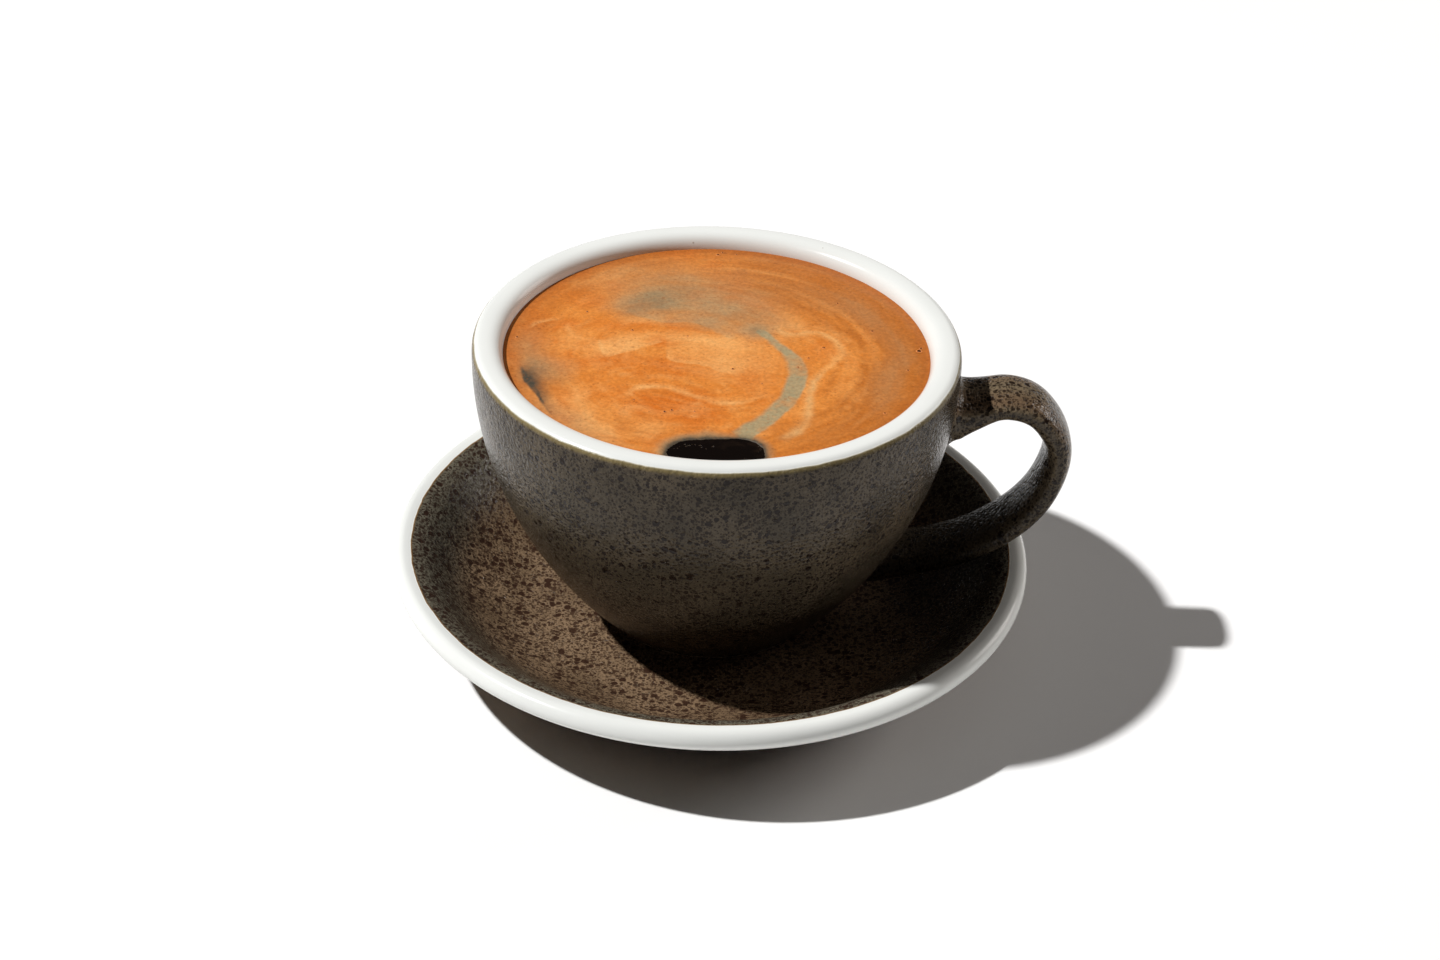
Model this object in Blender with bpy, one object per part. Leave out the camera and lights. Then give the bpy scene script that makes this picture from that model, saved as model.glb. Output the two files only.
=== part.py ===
"""Black coffee under its crema, in a thick-walled cup with a loop handle, on the cup's saucer.

Metres, +Z up. The saucer stands on z = 0, and the origin lies under the middle of the whole outline.
The handle reaches further to +X than the saucer does, so the axis of cup and saucer is a little to -X.
"""

import math

import bmesh
import bpy
from mathutils import Vector
from mathutils.geometry import interpolate_bezier

# Driving dimensions, in metres. Radii are measured from the common axis of cup and saucer.
SEGMENTS = 64
TOUCH_GAP = 0.0003

SAUCER_RADIUS = 0.0775
SAUCER_LIP_SECTION = 0.0026
SAUCER_LIP_Z = 0.0213
WELL_Z = 0.0067
WELL_FLAT_RADIUS = 0.036
SAUCER_FOOT_RADIUS = 0.0466
SAUCER_FOOT_WIDTH = 0.0048
SAUCER_RECESS = 0.0016

CUP_FOOT_Z = WELL_Z + TOUCH_GAP
CUP_FOOT_RADIUS = 0.0274
CUP_FOOT_WIDTH = 0.0042
CUP_RECESS = 0.0012
CUP_RADIUS = 0.05705
LIP_TOP_Z = 0.08005
LIP_CREST_RADIUS = 0.0548
LIP_OUTER_DROP = 0.0022
CAVITY_RADIUS = 0.0498
LIP_INNER_DROP = 0.0052
LIP_INNER_POWER = 2.8
CAVITY_FLOOR_Z = 0.0132
CAVITY_FLOOR_RADIUS = 0.016

DRINK_Z = 0.0764
CREMA_THICKNESS = 0.002
BARE_COFFEE_DROP = 0.0004
BAY_CENTRE = (0.0006, -0.0439)
BAY_HALF_SIZE = (0.0109, 0.0064)
BAY_POWER = 2.8
BAY_TURN = math.radians(8)

STRAP_HALF_WIDTH = 0.0081
STRAP_HALF_THICKNESS = 0.00325
STRAP_POWER = 2.5
STRAP_LINE = (
    (0.0490, 0.0610),
    (0.0600, 0.0642),
    (0.0690, 0.0665),
    (0.0768, 0.0634),
    (0.0819, 0.0540),
    (0.0790, 0.0412),
    (0.0705, 0.0309),
    (0.0570, 0.0234),
    (0.0340, 0.0183),
)
# For each end of the strap: length inside the wall, length of the flare outside it, and what the flare
# adds at the wall to the half width and the half thickness.
UPPER_ROOT = (0.0080, 0.0105, 0.0010, 0.0030)
LOWER_ROOT = (0.0065, 0.0100, 0.0006, 0.0006)
ROOT_DEPTH = 0.0025

AXIS_X = (SAUCER_RADIUS - max(x for x, z in STRAP_LINE) - STRAP_HALF_THICKNESS) / 2


def clear_scene():
    for thing in list(bpy.data.objects):
        bpy.data.objects.remove(thing)


def material(name, colour, roughness, metallic=0.0):
    """A Principled material with one colour."""
    made = bpy.data.materials.new(name)
    made.use_nodes = True
    shader = made.node_tree.nodes["Principled BSDF"]
    shader.inputs["Base Color"].default_value = (*colour, 1.0)
    shader.inputs["Roughness"].default_value = roughness
    shader.inputs["Metallic"].default_value = metallic
    made.diffuse_color = (*colour, 1.0)
    return made


def bezier(start, first, second, end, count):
    """Points of a cubic Bezier curve in the (radius, z) plane."""
    flat = [Vector((x, y, 0)) for x, y in (start, first, second, end)]
    return [(p.x, p.y) for p in interpolate_bezier(*flat, count)]


def arc(centre, radius, start, end, count):
    """Points of a circular arc in the (radius, z) plane, with its angles in degrees."""
    points = []
    for step in range(count + 1):
        angle = math.radians(start + (end - start) * step / count)
        points.append((centre[0] + radius * math.cos(angle), centre[1] + radius * math.sin(angle)))
    return points


def without_repeats(points):
    """The same outline without points that fall on the one before."""
    kept = [points[0]]
    for point in points[1:]:
        if math.dist(point, kept[-1]) > 1e-6:
            kept.append(point)
    return kept


def link(name, mesh, finish):
    """An object for the mesh, smooth except where faces meet at a sharp edge."""
    thing = bpy.data.objects.new(name, mesh)
    bpy.context.scene.collection.objects.link(thing)
    mesh.materials.append(finish)
    mesh.shade_smooth()
    mesh.set_sharp_from_angle(angle=math.radians(40))
    return thing


def mesh_from(name, work):
    """A mesh with its faces pointing out."""
    bmesh.ops.remove_doubles(work, verts=work.verts, dist=1e-7)
    bmesh.ops.recalc_face_normals(work, faces=work.faces)
    mesh = bpy.data.meshes.new(name)
    work.to_mesh(mesh)
    work.free()
    return mesh


def turned(name, profile, finish):
    """A solid of revolution about the axis of the cup, from a profile that starts and ends on that axis."""
    work = bmesh.new()
    corners = [work.verts.new((radius, 0, z)) for radius, z in without_repeats(profile)]
    edges = [work.edges.new(pair) for pair in zip(corners, corners[1:])]
    bmesh.ops.spin(
        work,
        geom=corners + edges,
        axis=(0, 0, 1),
        cent=(0, 0, 0),
        angle=2 * math.pi,
        steps=SEGMENTS,
        use_merge=True,
    )
    thing = link(name, mesh_from(name, work), finish)
    thing.location.x = AXIS_X
    return thing


def prism(name, outline, low, high, finish):
    """An upright prism on an outline in the (x, y) plane, measured from the cup's axis."""
    work = bmesh.new()
    floor = work.faces.new([work.verts.new((x, y, low)) for x, y in outline])
    raised = bmesh.ops.extrude_face_region(work, geom=[floor])["geom"]
    lifted = [v for v in raised if isinstance(v, bmesh.types.BMVert)]
    bmesh.ops.translate(work, verts=lifted, vec=(0, 0, high - low))
    thing = link(name, mesh_from(name, work), finish)
    thing.location.x = AXIS_X
    return thing


def guide(thing):
    """Marks an object that only shapes another one."""
    thing.hide_render = True
    thing.display_type = "WIRE"
    return thing


def boolean(thing, operation, other):
    cut = thing.modifiers.new(operation.lower(), "BOOLEAN")
    cut.operation = operation
    cut.solver = "EXACT"
    cut.object = guide(other)


def saucer_profile():
    """Well, slope, rolled lip, underside and foot ring, from the axis above to the axis below."""
    lip_radius = SAUCER_RADIUS - SAUCER_LIP_SECTION
    lip_centre = (lip_radius, SAUCER_LIP_Z)
    crest_z = SAUCER_LIP_Z + SAUCER_LIP_SECTION
    middle = (0.0625, 0.0157)
    foot_inner = SAUCER_FOOT_RADIUS - SAUCER_FOOT_WIDTH
    return [
        (0, WELL_Z),
        *bezier((WELL_FLAT_RADIUS, WELL_Z), (0.0478, WELL_Z), (0.0562, 0.0101), middle, 6),
        *bezier(middle, (0.0672, 0.0199), (0.0692, crest_z - 0.0005), (lip_radius, crest_z), 5),
        *arc(lip_centre, SAUCER_LIP_SECTION, 90, -75, 7),
        *bezier((0.0742, 0.0178), (0.0695, 0.0146), (0.0630, 0.0044), (0.0490, 0.0029), 6),
        (SAUCER_FOOT_RADIUS + 0.0006, 0.0022),
        (SAUCER_FOOT_RADIUS, 0.0006),
        (SAUCER_FOOT_RADIUS - 0.0005, 0),
        (foot_inner + 0.0005, 0),
        (foot_inner, 0.0005),
        (foot_inner - 0.0008, SAUCER_RECESS),
        (0, SAUCER_RECESS),
    ]


def cup_side(inset=0.0):
    """The cup's outer side from under the lip down to the foot, moved in by the inset."""
    top = (CUP_RADIUS - inset, LIP_TOP_Z - LIP_OUTER_DROP)
    foot = (CUP_FOOT_RADIUS + 0.0004 - inset, CUP_FOOT_Z + 0.0006)
    return bezier(top, (0.0579 - inset, 0.0497), (0.0443 - inset, 0.0250), foot, 13)


def cavity_profile():
    """The inside, from the axis at the floor, up the wall and over the inner half of the lip to its crest."""
    wall_top = (CAVITY_RADIUS, LIP_TOP_Z - LIP_INNER_DROP)
    floor_edge = (CAVITY_FLOOR_RADIUS, CAVITY_FLOOR_Z)
    points = [(0, CAVITY_FLOOR_Z)]
    points += bezier(floor_edge, (0.0395, 0.0136), (0.0518, 0.0480), wall_top, 10)
    width = LIP_CREST_RADIUS - CAVITY_RADIUS
    steps = 6
    for step in range(1, steps + 1):
        angle = math.pi / 2 * step / steps
        across = math.cos(angle) ** (2 / LIP_INNER_POWER)
        up = math.sin(angle) ** (2 / LIP_INNER_POWER)
        points.append((LIP_CREST_RADIUS - width * across, wall_top[1] + LIP_INNER_DROP * up))
    return points


def cup_profile():
    """Inside, lip, outer side and foot ring, from the axis above to the axis below."""
    outer_half = []
    steps = 4
    for step in range(1, steps):
        angle = math.pi / 2 * step / steps
        out = (CUP_RADIUS - LIP_CREST_RADIUS) * math.sin(angle)
        down = LIP_OUTER_DROP * (1 - math.cos(angle))
        outer_half.append((LIP_CREST_RADIUS + out, LIP_TOP_Z - down))
    foot_inner = CUP_FOOT_RADIUS - CUP_FOOT_WIDTH
    return [
        *cavity_profile(),
        *outer_half,
        *cup_side(),
        (CUP_FOOT_RADIUS, CUP_FOOT_Z + 0.0002),
        (CUP_FOOT_RADIUS - 0.0003, CUP_FOOT_Z),
        (foot_inner + 0.0004, CUP_FOOT_Z),
        (foot_inner - 0.0002, CUP_FOOT_Z + CUP_RECESS),
        (0, CUP_FOOT_Z + CUP_RECESS),
    ]


def drink_profile(top):
    """The liquid in the cavity, a touching gap inside its wall, up to a flat top."""
    points = [(0, top)]
    wall = [(radius - TOUCH_GAP, z + TOUCH_GAP) for radius, z in cavity_profile()[1:]]
    points.append((CAVITY_RADIUS - TOUCH_GAP, top))
    points += [point for point in reversed(wall) if point[1] < top - 0.0015]
    points.append((0, CAVITY_FLOOR_Z + TOUCH_GAP))
    return points


def superellipse(half_x, half_y, power, count):
    """Points round a rounded oblong about the origin."""
    points = []
    for step in range(count):
        angle = 2 * math.pi * step / count
        c, s = math.cos(angle), math.sin(angle)
        points.append(
            (
                math.copysign(half_x * abs(c) ** (2 / power), c),
                math.copysign(half_y * abs(s) ** (2 / power), s),
            )
        )
    return points


def bay_outline(inset):
    """The bay at the front of the crema where the coffee shows, made smaller all round by the inset."""
    turn, points = BAY_TURN, []
    for x, y in superellipse(BAY_HALF_SIZE[0] - inset, BAY_HALF_SIZE[1] - inset, BAY_POWER, 32):
        points.append(
            (
                BAY_CENTRE[0] + x * math.cos(turn) - y * math.sin(turn),
                BAY_CENTRE[1] + x * math.sin(turn) + y * math.cos(turn),
            )
        )
    return points


def spline(points, per_span):
    """A smooth curve through the points, with its ends prolonged straight."""
    ends = [
        tuple(2 * a - b for a, b in zip(points[0], points[1])),
        *points,
        tuple(2 * a - b for a, b in zip(points[-1], points[-2])),
    ]
    line = []
    for before, start, end, after in zip(ends, ends[1:], ends[2:], ends[3:]):
        for step in range(per_span):
            t = step / per_span
            line.append(
                Vector(
                    0.5 * (2 * b + (c - a) * t + (2 * a - 5 * b + 4 * c - d) * t**2 + (3 * b - a - 3 * c + d) * t**3)
                    for a, b, c, d in zip(before, start, end, after)
                )
            )
    line.append(Vector(points[-1]))
    return line


def strap_size(from_top, from_bottom):
    """Half width and half thickness of the strap at these lengths from its two ends."""
    half_width, half_thickness = STRAP_HALF_WIDTH, STRAP_HALF_THICKNESS
    for run, (inside, reach, wider, thicker) in ((from_top, UPPER_ROOT), (from_bottom, LOWER_ROOT)):
        near = min(1.0, max(0.0, 1 - (run - inside) / reach))
        half_width += wider * near**1.5
        half_thickness += thicker * near**1.5
    return half_width, half_thickness


def make_handle(finish):
    """The strap, swept along its line in the plane y = 0 and flared where it meets the cup."""
    line = spline(STRAP_LINE, 5)
    lengths = [0.0]
    for one, two in zip(line, line[1:]):
        lengths.append(lengths[-1] + (two - one).length)
    section = superellipse(1, 1, STRAP_POWER, 20)
    work = bmesh.new()
    rings = []
    for index, centre in enumerate(line):
        ahead = line[min(index + 1, len(line) - 1)] - line[max(index - 1, 0)]
        normal = Vector((-ahead.y, ahead.x)).normalized()
        half_width, half_thickness = strap_size(lengths[index], lengths[-1] - lengths[index])
        ring = []
        for across, out in section:
            spot = centre + normal * out * half_thickness
            ring.append(work.verts.new((spot.x, across * half_width, spot.y)))
        rings.append(ring)
    for one, two in zip(rings, rings[1:]):
        for index in range(len(one)):
            after = (index + 1) % len(one)
            work.faces.new((one[index], one[after], two[after], two[index]))
    work.faces.new(rings[0])
    work.faces.new(rings[-1])
    handle = link("handle", mesh_from("handle", work), finish)
    handle.location.x = AXIS_X
    return handle


def make_saucer(finish):
    return turned("saucer", saucer_profile(), finish)


def make_cup(finish):
    """Body and handle in one piece. The strap's ends stop inside the wall."""
    cup = turned("cup", cup_profile(), finish)
    handle = make_handle(finish)
    side = cup_side(ROOT_DEPTH)
    core = turned("core", [(0, side[0][1]), *side, (0, side[-1][1])], finish)
    boolean(handle, "DIFFERENCE", core)
    boolean(cup, "UNION", handle)
    return cup


def make_coffee(finish):
    """The liquid, with its surface raised in the bay to the level that shows there."""
    top = DRINK_Z - BARE_COFFEE_DROP
    under_crema = DRINK_Z - CREMA_THICKNESS - TOUCH_GAP
    coffee = turned("coffee", drink_profile(top), finish)
    above = top + 0.002
    cover = turned("cover", [(0, above), (CUP_RADIUS, above), (CUP_RADIUS, under_crema), (0, under_crema)], finish)
    bare = prism("bare", bay_outline(TOUCH_GAP), under_crema - 0.001, above + 0.001, finish)
    boolean(cover, "DIFFERENCE", bare)
    boolean(coffee, "DIFFERENCE", cover)
    return coffee


def make_crema(finish):
    """The foam skin on the coffee, open to the wall at the bay."""
    low = DRINK_Z - CREMA_THICKNESS
    edge = CAVITY_RADIUS - TOUCH_GAP
    crema = turned("crema", [(0, DRINK_Z), (edge, DRINK_Z), (edge, low), (0, low)], finish)
    bay = prism("bay", bay_outline(0), low - 0.001, DRINK_Z + 0.001, finish)
    boolean(crema, "DIFFERENCE", bay)
    return crema


def main():
    clear_scene()
    glaze = material("granite_glaze", (0.058, 0.046, 0.036), 0.42)
    liquid = material("black_coffee", (0.008, 0.005, 0.004), 0.08)
    foam = material("crema_foam", (0.62, 0.27, 0.075), 0.5)
    make_saucer(glaze)
    make_cup(glaze)
    make_coffee(liquid)
    make_crema(foam)


main()
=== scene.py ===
"""Looks of a cup of black coffee with its saucer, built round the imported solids."""

import math

import bmesh
import bpy
import numpy as np
from mathutils import Matrix, Vector
from mathutils.geometry import interpolate_bezier


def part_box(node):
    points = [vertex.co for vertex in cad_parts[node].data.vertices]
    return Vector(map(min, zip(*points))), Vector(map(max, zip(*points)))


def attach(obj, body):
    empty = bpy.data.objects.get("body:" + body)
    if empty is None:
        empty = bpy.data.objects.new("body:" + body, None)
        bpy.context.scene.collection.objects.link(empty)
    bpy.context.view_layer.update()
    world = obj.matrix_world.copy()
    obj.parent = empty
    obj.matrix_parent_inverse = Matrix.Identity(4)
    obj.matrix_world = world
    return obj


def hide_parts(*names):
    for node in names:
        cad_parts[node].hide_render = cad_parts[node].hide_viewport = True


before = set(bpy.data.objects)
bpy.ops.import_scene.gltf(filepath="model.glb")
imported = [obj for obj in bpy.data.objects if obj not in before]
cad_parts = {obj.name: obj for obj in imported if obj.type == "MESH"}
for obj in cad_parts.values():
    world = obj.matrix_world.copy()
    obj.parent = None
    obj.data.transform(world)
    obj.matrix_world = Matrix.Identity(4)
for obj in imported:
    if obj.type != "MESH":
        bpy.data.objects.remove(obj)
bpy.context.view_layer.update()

MM = 0.001

# Sizes in millimetres. Radii are measured from the common axis of cup, drink and saucer.
SAUCER_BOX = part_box("saucer")
AXIS_X = (SAUCER_BOX[0][0] + SAUCER_BOX[1][0]) / 2 / MM
SEGMENTS = 288

LIP_CREST_RADIUS, LIP_TOP = 54.8, 80.05
CUP_RADIUS, LIP_OUTER_DROP = 57.05, 2.2
CUP_SIDE_PULLS = ((57.9, 49.7), (44.3, 25.0))
CAVITY_RADIUS, LIP_INNER_DROP, LIP_INNER_POWER = 49.8, 5.2, 2.8
CAVITY_FLOOR, CAVITY_FLAT_RADIUS = 13.2, 16.0
CAVITY_PULLS = ((39.5, 13.6), (51.8, 48.0))
CUP_FOOT_RADIUS, CUP_FOOT_WIDTH, CUP_FOOT, CUP_RECESS = 27.4, 4.2, 7.0, 1.2
FOOT_EDGE = 0.6

SAUCER_RADIUS, SAUCER_LIP_SECTION, SAUCER_LIP = 77.5, 2.6, 21.3
WELL, WELL_FLAT_RADIUS = 6.7, 36.0
WELL_PULLS = ((47.8, WELL), (56.2, 10.1))
SAUCER_MIDDLE = (62.5, 15.7)
SAUCER_UNDERSIDE = ((74.2, 17.8), (69.5, 14.6), (63.0, 4.4), (49.0, 2.9))
SAUCER_FOOT_RADIUS, SAUCER_FOOT_WIDTH, SAUCER_RECESS = 46.6, 4.8, 1.6

# White meets speckled glaze here: below the cup's lip, inside the saucer's rim, and under that rim.
CUP_LINE = (56.45, 79.4)
BAND_RADIUS = 73.3
UNDER_LINE = (75.6, 18.8)

DRINK, COFFEE_TOP = 76.4, 76.0
CREMA_EDGE, CREMA_UNDER_EDGE, CREMA_THICKNESS = 49.97, 49.4, 2.0
LIQUID_SIDE_GAP, LIQUID_FLOOR_GAP = 0.25, 0.3
BAY_CENTRE, BAY_HALF, BAY_POWER, BAY_TURN = (0.6, -43.9), (10.9, 6.4), 2.8, math.radians(8)

STRAP_HALF_WIDTH, STRAP_HALF_THICKNESS, STRAP_POWER = 8.1, 3.25, 2.5
STRAP_LINE = (
    (49.0, 61.0),
    (60.0, 64.2),
    (69.0, 66.5),
    (76.8, 63.4),
    (81.9, 54.0),
    (79.0, 41.2),
    (70.5, 30.9),
    (57.0, 23.4),
    (34.0, 18.3),
)
UPPER_ROOT = (8.0, 10.5, 1.0, 3.0)
LOWER_ROOT = (6.5, 10.0, 0.6, 0.6)


def linear(red, green, blue):
    """A colour given as 0 to 255 on a screen, as linear values."""
    shares = (red / 255, green / 255, blue / 255)
    return tuple(c / 12.92 if c <= 0.04045 else ((c + 0.055) / 1.055) ** 2.4 for c in shares)


def smooth(low, high, value):
    """0 up to low, 1 from high on, and a soft rise between, or a fall where low is above high."""
    t = np.clip((value - low) / (high - low), 0, 1)
    return t * t * (3 - 2 * t)


NOISE_GRID, NOISE_SHIFT = 128, (61.3, 47.9)


def noise(x, y, cell, seed):
    """Smooth noise from -1 to 1 with features of about that cell size."""
    grid = np.random.RandomState(seed).uniform(-1, 1, (NOISE_GRID, NOISE_GRID))
    u, v = x / cell + NOISE_SHIFT[0], y / cell + NOISE_SHIFT[1]
    i, j = np.floor(u).astype(int), np.floor(v).astype(int)
    a, b = u - i, v - j
    a, b = a * a * (3 - 2 * a), b * b * (3 - 2 * b)
    i, j, i_next, j_next = (k % NOISE_GRID for k in (i, j, i + 1, j + 1))
    low = grid[i, j] * (1 - a) + grid[i_next, j] * a
    high = grid[i, j_next] * (1 - a) + grid[i_next, j_next] * a
    return low * (1 - b) + high * b


def fractal(x, y, cell, seed, octaves=3):
    """Noise in several sizes, from -1 to 1 or so."""
    total, weight = 0, 1.0
    for octave in range(octaves):
        total = total + weight * noise(x, y, cell / 2**octave, seed + octave)
        weight *= 0.5
    return total / 1.5


def bezier(start, first, second, end, count):
    """Points of a cubic Bezier curve in a plane."""
    flat = [Vector((*p, 0)) for p in (start, first, second, end)]
    return [(p.x, p.y) for p in interpolate_bezier(*flat, count)]


def arc(centre, radius, start, end, count):
    """Points of a circular arc in a plane, with its angles in degrees."""
    turns = [math.radians(start + (end - start) * step / count) for step in range(count + 1)]
    return [(centre[0] + radius * math.cos(t), centre[1] + radius * math.sin(t)) for t in turns]


def spline(points, per_span):
    """A smooth curve through points of any dimension, with its ends prolonged straight."""
    p = np.array(points, float)
    p = np.vstack([2 * p[0] - p[1], p, 2 * p[-1] - p[-2]])
    line = []
    for a, b, c, d in zip(p, p[1:], p[2:], p[3:]):
        for t in np.arange(per_span) / per_span:
            square = (2 * a - 5 * b + 4 * c - d) * t**2
            cube = (3 * b - a - 3 * c + d) * t**3
            line.append(0.5 * (2 * b + (c - a) * t + square + cube))
    return np.array(line + [p[-2]])


def superellipse(half_x, half_y, power, count):
    """Points round a rounded oblong about the origin."""
    t = np.arange(count) * 2 * math.pi / count
    c, s = np.cos(t), np.sin(t)
    x = half_x * np.sign(c) * abs(c) ** (2 / power)
    y = half_y * np.sign(s) * abs(s) ** (2 / power)
    return np.stack([x, y], 1)


# Meshes


def make_object(name, places, faces, attributes=None, material=None):
    """A smooth object from places in millimetres about the cup's axis, with values stored for its points."""
    mesh = bpy.data.meshes.new(name)
    world = np.array(places, float) * MM
    world[:, 0] += AXIS_X * MM
    mesh.from_pydata(world.tolist(), [], faces)
    mesh.validate()
    for key, values in (attributes or {}).items():
        layer = mesh.attributes.new(key, "FLOAT", "POINT")
        layer.data.foreach_set("value", np.asarray(values, np.float32))
    work = bmesh.new()
    work.from_mesh(mesh)
    bmesh.ops.recalc_face_normals(work, faces=work.faces)
    work.to_mesh(mesh)
    work.free()
    mesh.shade_smooth()
    thing = bpy.data.objects.new(name, mesh)
    bpy.context.scene.collection.objects.link(thing)
    if material:
        mesh.materials.append(material)
    return thing


def turned(profile, segments=SEGMENTS):
    """Places and faces of a solid of revolution, from a profile that starts and ends on the axis."""
    inner = [p for p in profile if p[0] > 1e-9]
    turns = np.arange(segments) * 2 * math.pi / segments
    places = [(0, 0, profile[0][1])]
    for radius, z in inner:
        places += [(radius * math.cos(t), radius * math.sin(t), z) for t in turns]
    places.append((0, 0, profile[-1][1]))
    faces = []
    for ring in range(len(inner) - 1):
        start = 1 + ring * segments
        for k in range(segments):
            after = (k + 1) % segments
            faces.append((start + k, start + after, start + segments + after, start + segments + k))
    last = 1 + (len(inner) - 1) * segments
    for k in range(segments):
        after = (k + 1) % segments
        faces.append((0, 1 + after, 1 + k))
        faces.append((len(places) - 1, last + k, last + after))
    return places, faces


def resample(profile, step):
    """The profile with its long edges divided, so that no edge is longer than step."""
    fine = [profile[0]]
    for one, two in zip(profile, profile[1:]):
        pieces = max(1, math.ceil(math.dist(one, two) / step))
        for k in range(1, pieces + 1):
            fine.append((one[0] + (two[0] - one[0]) * k / pieces, one[1] + (two[1] - one[1]) * k / pieces))
    return fine


def run_along(profile, mark):
    """Length along the profile of each point, counted from the point nearest to mark."""
    p = np.array(profile)
    lengths = np.concatenate([[0], np.cumsum(np.hypot(*(p[1:] - p[:-1]).T))])
    nearest = int(np.argmin(np.hypot(p[:, 0] - mark[0], p[:, 1] - mark[1])))
    return lengths - lengths[nearest]


def per_point(profile, values):
    """Values of the profile's points, repeated round the turned solid."""
    spread = [values[0]]
    for (radius, _), value in zip(profile, values):
        if radius > 1e-9:
            spread += [value] * SEGMENTS
    return spread + [values[-1]]


def cup_side(count):
    """The outer side, from the lip down to the foot."""
    top = (CUP_RADIUS, LIP_TOP - LIP_OUTER_DROP)
    foot = (CUP_FOOT_RADIUS + 0.4, CUP_FOOT + FOOT_EDGE)
    return bezier(top, *CUP_SIDE_PULLS, foot, count)


def cavity(count):
    """The inside, from the axis at the floor up the wall and over the inner half of the lip."""
    wall_top = (CAVITY_RADIUS, LIP_TOP - LIP_INNER_DROP)
    floor_edge = (CAVITY_FLAT_RADIUS, CAVITY_FLOOR)
    points = [(0, CAVITY_FLOOR)] + bezier(floor_edge, *CAVITY_PULLS, wall_top, count)
    steps = 22
    for step in range(1, steps + 1):
        angle = math.pi / 2 * step / steps
        across = (LIP_CREST_RADIUS - CAVITY_RADIUS) * math.cos(angle) ** (2 / LIP_INNER_POWER)
        up = LIP_INNER_DROP * math.sin(angle) ** (2 / LIP_INNER_POWER)
        points.append((LIP_CREST_RADIUS - across, wall_top[1] + up))
    return points


def cup_profile():
    """The inside, the outer half of the lip, the side and the foot ring, back to the axis."""
    outer = []
    steps = 14
    for step in range(1, steps):
        angle = math.pi / 2 * step / steps
        out = (CUP_RADIUS - LIP_CREST_RADIUS) * math.sin(angle)
        outer.append((LIP_CREST_RADIUS + out, LIP_TOP - LIP_OUTER_DROP * (1 - math.cos(angle))))
    foot_inner = CUP_FOOT_RADIUS - CUP_FOOT_WIDTH
    return [
        *cavity(60),
        *outer,
        *cup_side(90),
        *arc((CUP_FOOT_RADIUS - 0.4, CUP_FOOT + FOOT_EDGE), FOOT_EDGE, 0, -90, 5),
        *arc((foot_inner + FOOT_EDGE, CUP_FOOT + FOOT_EDGE), FOOT_EDGE, -90, -150, 4),
        (foot_inner - 0.3, CUP_FOOT + CUP_RECESS),
        (0, CUP_FOOT + CUP_RECESS),
    ]


def saucer_profile():
    """The well, the rolled rim, the underside and the foot ring, back to the axis."""
    lip_radius = SAUCER_RADIUS - SAUCER_LIP_SECTION
    crest = SAUCER_LIP + SAUCER_LIP_SECTION
    foot_inner = SAUCER_FOOT_RADIUS - SAUCER_FOOT_WIDTH
    return [
        (0, WELL),
        *bezier((WELL_FLAT_RADIUS, WELL), *WELL_PULLS, SAUCER_MIDDLE, 40),
        *bezier(SAUCER_MIDDLE, (67.2, 19.9), (69.2, crest - 0.5), (lip_radius, crest), 40)[1:],
        *arc((lip_radius, SAUCER_LIP), SAUCER_LIP_SECTION, 90, -75, 30)[1:],
        *bezier(*SAUCER_UNDERSIDE, 50),
        *arc((SAUCER_FOOT_RADIUS + 1.6, 1.3), 1.5, 100, 175, 5),
        *arc((SAUCER_FOOT_RADIUS - FOOT_EDGE, FOOT_EDGE), FOOT_EDGE, 0, -90, 4),
        *arc((foot_inner + FOOT_EDGE, FOOT_EDGE), FOOT_EDGE, -90, -150, 4),
        (foot_inner - 0.8, SAUCER_RECESS),
        (0, SAUCER_RECESS),
    ]


def wall_radius(z):
    """Radius of the cup's outer side at a height."""
    side = np.array(cup_side(60))[::-1]
    return np.interp(z, side[:, 1], side[:, 0])


def handle_mesh():
    """The strap with its flared roots and a soft fillet at the wall, and a value at each point for thin glaze and
    painted light.

    The glaze runs thin along the strap's edges, and its upper face, where the key light falls, gets a painted light,
    both from the upper root to the middle.
    """
    line = spline(STRAP_LINE, 30)
    lengths = np.concatenate([[0], np.cumsum(np.hypot(*(line[1:] - line[:-1]).T))])
    total = lengths[-1]
    around = 56
    section = superellipse(1, 1, STRAP_POWER, around)
    places, rub = [], []
    for k, centre in enumerate(line):
        ahead = line[min(k + 1, len(line) - 1)] - line[max(k - 1, 0)]
        ahead /= np.hypot(*ahead)
        normal = np.array([-ahead[1], ahead[0]])
        half_width, half_thickness = STRAP_HALF_WIDTH, STRAP_HALF_THICKNESS
        shown = smooth(0.66, 0.4, k / len(line))
        roots = ((lengths[k], UPPER_ROOT), (total - lengths[k], LOWER_ROOT))
        for run, (inside, reach, wider, thicker) in roots:
            near = min(1.0, max(0.0, 1 - (run - inside) / reach))
            half_width += wider * near**1.5
            half_thickness += thicker * near**1.5
        for across, out in section:
            x, z = centre + normal * out * half_thickness
            places.append((x, across * half_width, z))
            # face marks the strap's upper face, lightened as painted light where the key light falls; edges marks
            # its rounded edges, where the glaze runs thin.
            face, edges = smooth(0.0, 0.7, out), abs(across * out)
            rub.append(0.04 + shown * (0.4 * face + 0.6 * edges))
    places = fillet(np.array(places), np.repeat(line, around, axis=0))
    faces = []
    for ring in range(len(line) - 1):
        for k in range(around):
            after = (k + 1) % around
            a, b = ring * around, (ring + 1) * around
            faces.append((a + k, a + after, b + after, b + k))
    faces.append(tuple(range(around)))
    faces.append(tuple(range((len(line) - 1) * around, len(line) * around)))
    return places, faces, rub


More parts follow.
